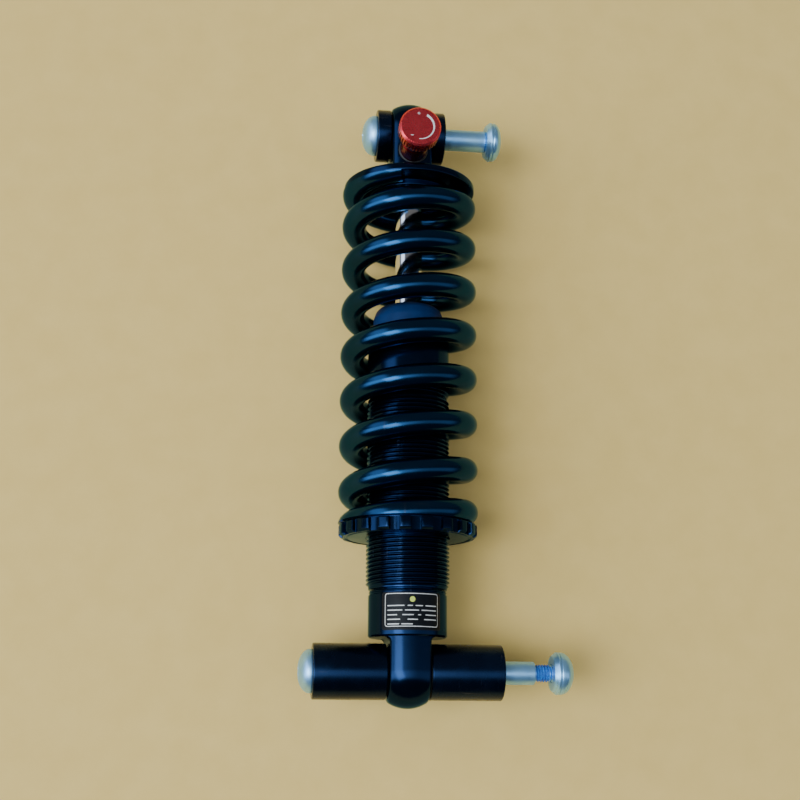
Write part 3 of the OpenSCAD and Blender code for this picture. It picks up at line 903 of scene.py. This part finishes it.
def frame_line(name, low_x, high_x, low_u, high_u, corner, width, r, thickness, material):
    """A thin rounded border, wrapped round the cap."""
    corner_steps, side_steps, long_side = 8, 24, 5

    def rounded(inset):
        a, b, c, d = low_x + inset, high_x - inset, low_u + inset, high_u - inset
        corners = [(x, u, corner - inset) for x, u in ((b, d), (a, d), (a, c), (b, c))]
        points = softened(corners, closed=True, steps=corner_steps)
        dense = []
        for (x0, u0), (x1, u1) in zip(points, points[1:] + points[:1]):
            steps = side_steps if abs(x1 - x0) > long_side else 1
            dense += [(x0 + (x1 - x0) * k / steps, u0 + (u1 - u0) * k / steps)
                      for k in range(steps)]
        return dense

    outer, inner = rounded(0.0), rounded(width)
    loops = [[wrapped(x, u, r + lift) for x, u in edge]
             for edge, lift in ((outer, 0), (outer, thickness), (inner, thickness), (inner, 0))]
    piece = smooth_mesh(name, *skin(loops, closed=True), TO_METRES, 60)
    dress(piece, material, "damper")


def info_label():
    low, high = span("info_label", "y")
    half, film_r, film, ink_film = 11.2, CAP_R + 0.01, 0.1, 0.02
    ink_r = film_r + film
    plate = sticker("label_plate", -half, half, low, high, 1.0, film_r, film,
                    FINISHES["label_film"])
    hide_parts("info_label")
    margin, margin_foot, margin_head, line_width, line_ink = 1.3, 1.1, 0.4, 0.24, 0.03
    frame_line("label_border", -half + margin, half - margin, low + margin_foot,
               high - margin_head, 1.0, line_width, ink_r, line_ink, WHITE_INK)
    left, right = -half + 2.3, half - 2.1  # of the rows of bars
    bar_half, row_step, first_row = 0.16, 1.55, 4.6
    # Each row's bars, as where each starts and ends across the label
    rows = ((0.0, 0.34, 0.40, 0.50, 0.55, 0.70, 0.75, 1.0), (0.0, 0.30, 0.35, 0.62, 0.67, 1.0),
            (0.0, 0.20, 0.30, 0.52, 0.60, 0.66, 0.75, 1.0), (0.0, 0.26, 0.40, 0.60, 0.72, 1.0),
            (0.0, 0.24, 0.28, 0.5))
    for row, marks in enumerate(rows):
        bar_u = high - first_row - row_step * row
        for k in range(0, len(marks), 2):
            sticker(f"label_bar_{row}_{k // 2}", left + (right - left) * marks[k],
                    left + (right - left) * marks[k + 1], bar_u - bar_half, bar_u + bar_half,
                    0.15, ink_r, ink_film, WHITE_INK)
    dot_r, dot_low, dot_high = 0.95, high - 3.4, high - 1.5
    sticker("label_dot", -dot_r, dot_r, dot_low, dot_high, dot_r, ink_r, ink_film, LIME_INK)


info_label()


# ---- Spring seat and preload collar ----

def upper_spring_seat():
    low, high = SPRING_HIGH, SPRING_HIGH + 3
    r = span("upper_spring_seat", "x")[1]
    slot_half, slot_reach, lip = 5.15, 40, low - 2.2
    under, over = low - 9, high + 9
    piece = turned("spring_seat_plate", [
        (0, low), (13.4, low), (13.4, lip, 0.3), (15.7, lip, 0.6), (15.7, low, 0.2),
        (r, low, 0.5), (r, high, 1.1), (16.2, high, 0.2), (15.6, high - 0.5, 0.2), (0, high - 0.5)
    ], ON_SHOCK, closed=False, count=160)
    cut(piece, turned("hole_cut", [(0, under), (slot_half, under), (slot_half, over), (0, over)],
                      ON_SHOCK, closed=False, count=64))
    corners = [(x, y, z) for x in (-slot_half, slot_half) for y in (under, over)
               for z in (-slot_reach, 0)]
    faces = [(0, 1, 3, 2), (4, 6, 7, 5), (0, 4, 5, 1), (2, 3, 7, 6), (0, 2, 6, 4), (1, 5, 7, 3)]
    cut(piece, smooth_mesh("slot_cut", corners, faces, TO_METRES))
    piece.data.set_sharp_from_angle(angle=math.radians(SHARP_DEGREES))
    stand_for(piece, "upper_spring_seat")


def preload_collar():
    low, high = span("preload_collar", "y")
    r = span("preload_collar", "z")[1]
    notches, depth, inner_r = 20, 1.4, TUBE_R + 0.2
    # Half a notch, as (degrees from its middle, share of its depth)
    shape = [(0.0, 1.0), (3.6, 1.0), (3.95, 0.94), (4.15, 0.78), (4.35, 0.3), (4.55, 0.06),
             (4.9, 0.0), (7.0, 0.0)]
    angles = [(-a, share) for a, share in reversed(shape[1:])] + shape
    corners = softened([
        (inner_r, low), (r - 3.2, low, 0.1), (r - 2.9, low + 0.35, 0.1),
        (r - 2.2, low + 0.35, 0.1), (r - 1.9, low, 0.1), (r - 1.0, low, 0.3),
        (r, low + 0.8, 0.4), (r, high, 0.5), (inner_r, high)
    ], closed=True)
    loops = []
    for corner_r, height in corners:
        notched = corner_r > r - depth - 0.05
        loop = []
        for k in range(notches):
            for degrees, share in angles:
                a = math.radians(degrees + 360 / notches * k)
                here = min(corner_r, r - depth * share) if notched else corner_r
                loop.append((here * math.cos(a), here * math.sin(a), height))
        loops.append(loop)
    piece = smooth_mesh("preload_ring", *skin(loops, closed=True), ON_SHOCK, 38)
    stand_for(piece, "preload_collar")


def thrust_washer():
    low, high = span("preload_thrust_washer", "y")
    inner_r, outer_r = TUBE_R + 0.25, 22.6
    piece = turned("thrust_ring", [(inner_r, low), (outer_r, low, 0.15), (outer_r, high, 0.15),
                                   (inner_r, high)], ON_SHOCK)
    stand_for(piece, "preload_thrust_washer")


for build in (upper_spring_seat, preload_collar, thrust_washer):
    build()


# ---- Rebound knob ----

KNOB_R = 7.5
KNOB_LOW, KNOB_TOP = 26.0, 32.0


def rebound_knob():
    teeth, per_tooth = 40, 8
    count = teeth * per_tooth
    stem_r, groove_r, tooth = 5.0, 4.0, 0.42

    def knurled(r, height, depth):
        return around(lambda a: r - depth * max(0.0, math.cos(a * teeth)) ** 1.5, height, count)

    stem = softened([(0, 8.2), (stem_r, 8.2, 0.2), (stem_r, 10.7), (groove_r, 10.7),
                     (groove_r, 12.3), (stem_r, 12.3), (stem_r, 19.0, 0.3),
                     (stem_r - 0.4, 19.4, 0.2), (stem_r - 0.4, 20.2, 0.2), (stem_r, 20.6, 0.3),
                     (stem_r, KNOB_LOW, 0.3), (KNOB_R - 0.6, KNOB_LOW, 0.1)])
    loops = [circle(r, height, count) for r, height in stem]
    loops += [knurled(KNOB_R - 0.15, KNOB_LOW + 0.35, 0.1),
              knurled(KNOB_R, KNOB_LOW + 0.7, tooth), knurled(KNOB_R, KNOB_LOW + 3.0, tooth),
              knurled(KNOB_R, KNOB_TOP - 1.5, tooth), knurled(KNOB_R, KNOB_TOP - 1.15, 0.1)]
    top = softened([(KNOB_R, KNOB_TOP - 1.1), (KNOB_R, KNOB_TOP - 0.65, 0.1),
                    (KNOB_R - 0.65, KNOB_TOP, 0.12), (4.0, KNOB_TOP), (0, KNOB_TOP)])
    loops += [circle(r, height, count) for r, height in top]
    piece = smooth_mesh("knob_red", *skin(loops), ON_KNOB, 28)
    stand_for(piece, "rebound_knob")


def knob_mark(name, outline):
    """A filled mark, a hair proud of the knob's face, from outline points on that face."""
    proud = 0.03
    flat = [(x, y, KNOB_TOP + proud) for x, y in outline]
    base = [(x, y, KNOB_TOP - proud) for x, y in outline]
    count = len(outline)
    faces = [tuple(range(count)), tuple(count + i for i in reversed(range(count)))]
    faces += [(i, count + i, count + (i + 1) % count, (i + 1) % count) for i in range(count)]
    piece = smooth_mesh(name, flat + base, faces, ON_KNOB)
    dress(piece, WHITE_INK, "rebound_knob")


def knob_marks():
    """A curved band that tapers, a plus and a minus."""
    band_r, thick, thin = 4.9, 0.85, 0.28
    start, end, steps = math.radians(-95), math.radians(62), 36
    inner, outer = [], []
    for k in range(steps + 1):
        a = start + (end - start) * k / steps
        half_width = (thin + (thick - thin) * (k / steps) ** 1.3) / 2
        for side, r in ((inner, band_r - half_width), (outer, band_r + half_width)):
            side.append((r * math.cos(a), r * math.sin(a)))
    knob_mark("knob_arrow_line", inner + outer[::-1])
    arm, half = 0.5, 0.13
    for name, x, y, bars in (("knob_plus", -0.6, 4.9, ((arm, half), (half, arm))),
                             ("knob_minus", -3.0, -3.6, ((arm, half),))):
        for k, (a, b) in enumerate(bars):
            knob_mark(f"{name}_{k}", [(x + i * a, y + j * b) for i, j in SQUARE])


def ring_seal(name, node, ring_r, section_r, height, place):
    """A round rubber ring as one piece that stands for a CAD node."""
    piece = turned(name, ring_section(ring_r, section_r, height, 20), place, sharp_degrees=60)
    stand_for(piece, node)


rebound_knob()
knob_marks()
ring_seal("knob_seal_ring", "knob_oring", 4.75, 0.7, 11.5, ON_KNOB)


# ---- Spacers, axles, washers and screws ----

AXLE_R = 4.0
SEAL_R = 8.1
SEAL_SECTION_R = 0.6
SEAL_GAP = 0.03  # between a seal ring and an eye's flat
WASHER_THICKNESS, WASHER_GAP = 2.4, 0.03
SCREW_PITCH, SCREW_AROUND = 1.0, 48


class End:
    """The sizes of what an eye's axle carries, at the lower or the upper end of the shock.

    A head is given by its radius and height. X is along the axle from the middle of the eye.
    """

    def __init__(self, name, place, flat_x, spacer_r, spacer_gap, axle_head, screw_head, shank,
                 screw_gap=0.0):
        self.name, self.place, self.flat_x = name, place, flat_x
        self.spacer_r, self.inner_x = spacer_r, flat_x + spacer_gap
        self.outer_x = mounts[f"{name}_right_face"]["pos_m"][0] / MM
        self.axle_x = self.outer_x + mounts[f"{name}_axle"]["dims"]["length_mm"]
        self.washer_x = self.axle_x + screw_gap
        self.axle_head, self.screw_head, self.shank = axle_head, screw_head, shank


def spacers(end):
    """A sleeve on each side of an eye, with a groove for its seal ring in the face towards it."""
    bore_r, sleeve_r, inner_x, outer_x = AXLE_R + 0.04, 5.4, end.inner_x, end.outer_x
    groove_x, groove_half = end.flat_x + 2 * (SEAL_SECTION_R + SEAL_GAP), SEAL_SECTION_R + 0.05
    groove_low, groove_high = SEAL_R - groove_half, SEAL_R + groove_half
    for side, place in (("right", end.place), ("left", end.place @ MIRRORED)):
        piece = turned(f"{end.name}_sleeve_{side}", [
            (bore_r, 0.2), (sleeve_r, 0.2, 0.3), (sleeve_r, inner_x), (groove_low, inner_x),
            (groove_low, groove_x), (groove_high, groove_x), (groove_high, inner_x),
            (end.spacer_r, inner_x, 0.35), (end.spacer_r, outer_x, 0.55),
            (AXLE_R + 0.5, outer_x, 0.1), (bore_r, outer_x - 0.4)
        ], place, count=128)
        stand_for(piece, f"{end.name}_spacer_{side}")


def spacer_seals(end):
    """The pair of rubber rings between an eye's flats and its spacers."""
    middle = end.flat_x + SEAL_SECTION_R + SEAL_GAP
    rings = []
    for height in (-middle, middle):
        section = ring_section(SEAL_R, SEAL_SECTION_R, height, 16)
        rings.append(skin([circle(r, h) for r, h in section], closed=True))
    piece = smooth_mesh(f"{end.name}_seal_rings", *joined(*rings), end.place, 60)
    stand_for(piece, f"{end.name}_spacer_orings")


def dome(head_r, base, height, socket_depth):
    """Rings of a domed head with a hexagon socket, from its underside up."""
    flank, mouth_r, socket = 0.7, 2.75, 2.0
    steps, steps_to_mouth = 14, 12
    crown = [(head_r * math.cos(a), base + flank + (height - flank) * math.sin(a))
             for a in (math.pi / 2 * k / steps for k in range(steps_to_mouth))]
    top = crown[-1][1]
    floor = top - socket_depth
    return [circle(head_r - 0.35, base), circle(head_r - 0.1, base + 0.08),
            circle(head_r, base + 0.3), *(circle(r, h) for r, h in crown if r > mouth_r),
            circle(mouth_r - 0.15, top - 0.05), hexagon(socket + 0.1, top - 0.35),
            hexagon(socket, top - 0.6), hexagon(socket, floor), circle(1.6, floor - 0.1),
            circle(0, floor - 0.6)]


def axle(end):
    """A hollow axle: domed head at the left, sleeve through the eye, open end at the right."""
    hidden_r, hole_r, low, high = AXLE_R - 0.2, 3.05, end.outer_x, end.axle_x
    head_r, head_height = end.axle_head
    head = [[(x, y, -low - (z + low)) for x, y, z in ring]
            for ring in dome(head_r, -low, head_height, 2.8)]
    sleeve = softened([
        (hidden_r, -low), (hidden_r, low), (AXLE_R, low + 0.01), (AXLE_R, high, 0.45),
        (3.4, high, 0.1), (hole_r, high - 0.4), (hole_r, high - 22), (0, high - 23)
    ])
    loops = list(reversed(head)) + [circle(r, h) for r, h in sleeve]
    stand_for(smooth_mesh(f"{end.name}_axle_pin", *skin(loops), end.place), f"{end.name}_axle")


def washer(end):
    """A cone washer, clear of its axle and of its screw's head."""
    low, high = end.washer_x + WASHER_GAP, end.washer_x + WASHER_THICKNESS - WASHER_GAP
    piece = turned(f"{end.name}_cone_washer", [
        (3.2, low), (6.0, low, 0.3), (7.35, low + 1.6, 0.3), (7.35, high, 0.2), (3.2, high)
    ], end.place)
    stand_for(piece, f"{end.name}_axle_washer")


def screw(end):
    """An M6 screw with a domed head: its thread runs the length of the shank."""
    head_x = end.washer_x + WASHER_THICKNESS
    tip_x = head_x - end.shank
    crest_r, root_r, low, high = 2.95, 2.42, tip_x + 0.6, head_x - 0.8
    head_r, head_height = end.screw_head
    tip = ((0, tip_x), (root_r - 0.5, tip_x), (root_r, tip_x + 0.5), (root_r, low))
    neck = ((root_r, high), (root_r, head_x - 0.4), (crest_r, head_x), (crest_r, head_x + 0.5))
    ridge = thread(SCREW_PITCH, root_r, crest_r, low, high, SCREW_AROUND)
    ends = [skin([circle(r, x, SCREW_AROUND) for r, x in part]) for part in (tip, neck)]
    head = skin([circle(0, head_x), *dome(head_r, head_x, head_height, 2.2)])
    piece = smooth_mesh(f"{end.name}_screw_m6", *joined(ridge, *ends, head), end.place)
    stand_for(piece, f"{end.name}_axle_screw")


def threadlock_patch(end):
    """Dry blue threadlock that fills the screw's thread over a ragged stretch."""
    low, high = end.axle_x + 0.15, end.washer_x - 0.3
    root_r, crest_r, inner_r = 2.55, 3.0, 2.3
    coat = thread(SCREW_PITCH, root_r, crest_r, low, high, SCREW_AROUND)
    inside = ((root_r, low), (inner_r, low + 0.1), (inner_r, high - 0.1), (root_r, high))
    closed = skin([circle(r, x, SCREW_AROUND) for r, x in inside])
    stand_for(smooth_mesh("threadlock_coat", *joined(coat, closed), end.place),
              "threadlock_patch")


LOWER_END = End("lower", ON_LOWER_AXLE, LOWER_FLAT_X, spacer_r=9.6, spacer_gap=0.5,
                axle_head=(7.5, 5.0), screw_head=(7.3, 5.4), shank=18.0, screw_gap=6.2)
UPPER_END = End("upper", ON_UPPER_AXLE, UPPER_FLAT_X, spacer_r=9.8, spacer_gap=0.4,
                axle_head=(7.5, 5.4), screw_head=(7.2, 3.8), shank=22.0)
for build in (spacers, spacer_seals, axle, washer, screw):
    build(LOWER_END)
    build(UPPER_END)
threadlock_patch(LOWER_END)


# ---- Floor, lights and camera ----

FLOOR_HALF, FLOOR_GAP = 6.0, 0.0002  # metres
# The room's colours: above 1 they shine
WALL_FOOT = (0.05, 0.06, 0.08)
WALL_HEAD = (0.20, 0.19, 0.18)
BAND = (4.2, 4.8, 5.5)
SIDE = (1.8, 2.1, 2.6)
# The camera's turns in degrees, its distance and the point it looks at in millimetres
CAMERA_TURN, CAMERA_PITCH, CAMERA_TWIST = 6.94, 13.99, 0.31
CAMERA_DISTANCE, CAMERA_TARGET = 484.85, (-2.98, 96.87, 0)
LENS, SENSOR = 60.08, 36.0


def floor():
    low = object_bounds()[0].z - FLOOR_GAP
    corners = [(x * FLOOR_HALF, y * FLOOR_HALF, low) for x, y in SQUARE]
    mesh = bpy.data.meshes.new("floor")
    mesh.from_pydata(corners, [], [(0, 1, 2, 3)])
    piece = linked("floor", mesh)
    finish = Finish("floor_pale", Roughness=0.85, Specular_IOR_Level=0.2)
    grain = finish.cloud(90.0, 4.0)
    finish.colour(finish.mix(grain, (0.86, 0.595, 0.180), (0.90, 0.63, 0.200)))
    mesh.materials.append(finish.material)
    piece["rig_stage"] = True


def window():
    """One soft lamp, up at the left."""
    light = bpy.data.lights.new("window", "AREA")
    light.shape = "RECTANGLE"
    light.size, light.size_y = 0.7, 0.5
    light.energy = 7.0
    light.color = (0.90, 0.96, 1.0)
    lamp = linked("window", light)
    place, target = Vector((-0.6, -0.15, 1.0)), Vector((0.0, 0.1, 0.0))
    lamp.location = place
    lamp.rotation_euler = (target - place).to_track_quat("-Z", "Y").to_euler()


def room():
    """Soft light from all round: a bright band overhead, a window at the left, dark at the foot."""
    world = bpy.data.worlds.new("soft_room")
    shading = Shading(world)
    place = shading.nodes.new("ShaderNodeTexCoord").outputs["Generated"]
    x, y, z = shading.axes(place)

    def fade(value, low, high, to_low=0.0, to_high=1.0):
        return shading.spread(value, low, high, to_low, to_high, "SMOOTHSTEP")

    def together(first, *others):
        for other in others:
            first = shading.math("MULTIPLY", first, other)
        return first

    walls = shading.mix(fade(y, -0.15, 0.55), WALL_FOOT, WALL_HEAD)
    side = together(fade(x, -0.98, -0.88), fade(x, -0.72, -0.58, 1.0, 0.0),
                    fade(y, 0.5, 0.7, 1.0, 0.0), fade(y, 0.0, 0.15), fade(z, 0.1, 0.3))
    band = together(fade(y, -0.45, -0.27), fade(y, -0.05, 0.12, 1.0, 0.0), fade(z, 0.02, 0.35),
                    fade(x, -0.85, 0.55, 1.0, 0.16))
    back = shading.nodes["Background"]
    lit = shading.mix(band, shading.mix(side, walls, SIDE), BAND)
    shading.links.new(lit, back.inputs["Color"])
    back.inputs["Strength"].default_value = 1.0
    bpy.context.scene.world = world


def camera():
    """The camera looks down at the shock, turned a little round the shock's axis."""
    data = bpy.data.cameras.new("camera")
    data.sensor_width = SENSOR
    data.lens = LENS
    data.clip_start, data.clip_end = 0.01, 20.0
    turn, pitch, twist = (math.radians(a) for a in (CAMERA_TURN, CAMERA_PITCH, CAMERA_TWIST))
    place = (Matrix.Rotation(-turn, 4, "Y") @ Matrix.Translation(CAMERA_TARGET)
             @ Matrix.Rotation(pitch, 4, "X") @ Matrix.Rotation(twist, 4, "Z")
             @ Matrix.Translation((0, 0, CAMERA_DISTANCE)))
    view = linked("camera", data)
    view.location = place.to_translation() * MM
    view.rotation_euler = place.to_euler()
    bpy.context.scene.camera = view


for build in (floor, window, room, camera):
    build()
